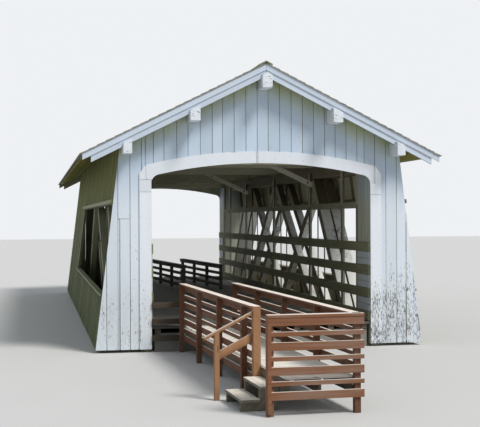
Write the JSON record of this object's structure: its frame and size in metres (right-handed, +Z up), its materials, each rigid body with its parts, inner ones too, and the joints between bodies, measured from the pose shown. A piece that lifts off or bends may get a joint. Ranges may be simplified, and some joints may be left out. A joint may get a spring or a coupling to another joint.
{
  "type": "covered bridge",
  "caption": "Covered timber truss bridge with flared white board walls, an arched portal, a gabled shingle roof and a fenced footway with steps.",
  "frame": {"origin": "middle of the box round the whole model, on the ground", "axes": "+X across the bridge to the right, +Y along it from the footway to the rear portal, +Z up"},
  "size_m": [7.38, 26.187, 5.7916],
  "materials": {
    "white_boards": "white paint, worn to grey wood near the ground",
    "side_boards": "old boards, weathered and green with algae",
    "white_trim": "white paint, lightly worn",
    "painted_timber": "pale paint, matte",
    "dark_timber": "rough sawn, unpainted",
    "weathered_timber": "weathered grey, unpainted",
    "stained_timber": "red-brown stain, matte",
    "planks": "weathered planks",
    "shingles": "weathered shingles with some moss",
    "rods": "dark iron, matte",
    "concrete": "grey concrete"
  },
  "bodies": {
    "root": {"abutments": "concrete", "floor_beams": "dark_timber", "floor_stringers": "dark_timber", "floor_deck": "planks", "left_bottom_chord": "dark_timber", "right_bottom_chord": "dark_timber", "left_top_chord": "dark_timber", "right_top_chord": "dark_timber", "left_braces": "painted_timber", "right_braces": "painted_timber", "angle_blocks": "dark_timber", "tie_rods": "rods", "rail_posts": "dark_timber", "left_rails": "weathered_timber", "right_rails": "weathered_timber", "left_lower_wall": "side_boards", "right_lower_wall": "side_boards", "left_upper_wall": "side_boards", "right_upper_wall": "side_boards", "left_end_wall": "side_boards", "left_lower_frame": "dark_timber", "right_lower_frame": "dark_timber", "left_upper_frame": "dark_timber", "right_upper_frame": "dark_timber", "full_studs": "dark_timber", "window_trim": "white_trim", "front_left_leg": "white_boards", "front_right_leg": "white_boards", "rear_left_leg": "white_boards", "rear_right_leg": "white_boards", "front_gable": "white_boards", "rear_gable": "white_boards", "front_arch_trim": "white_trim", "rear_arch_trim": "white_trim", "pier_posts": "dark_timber", "header_beams": "dark_timber", "front_pier_lining": "white_boards", "rear_pier_lining": "white_boards", "front_bargeboards": "white_trim", "rear_bargeboards": "white_trim", "tie_beams": "dark_timber", "knee_braces": "painted_timber", "roof_posts": "dark_timber", "ridge_beam": "weathered_timber", "left_roof_beams": "weathered_timber", "right_roof_beams": "weathered_timber", "left_rafters": "dark_timber", "right_rafters": "dark_timber", "left_roof": "shingles", "right_roof": "shingles", "ridge_cap": "shingles", "footway_deck": "planks", "footway_joists": "stained_timber", "footway_left_fence": "stained_timber", "footway_right_fence": "stained_timber", "footway_front_fence": "stained_timber", "footway_steps": "weathered_timber", "footway_handrail": "stained_timber", "closing_boards": "stained_timber", "deck_barriers": "weathered_timber"}
  },
  "joints": []
}
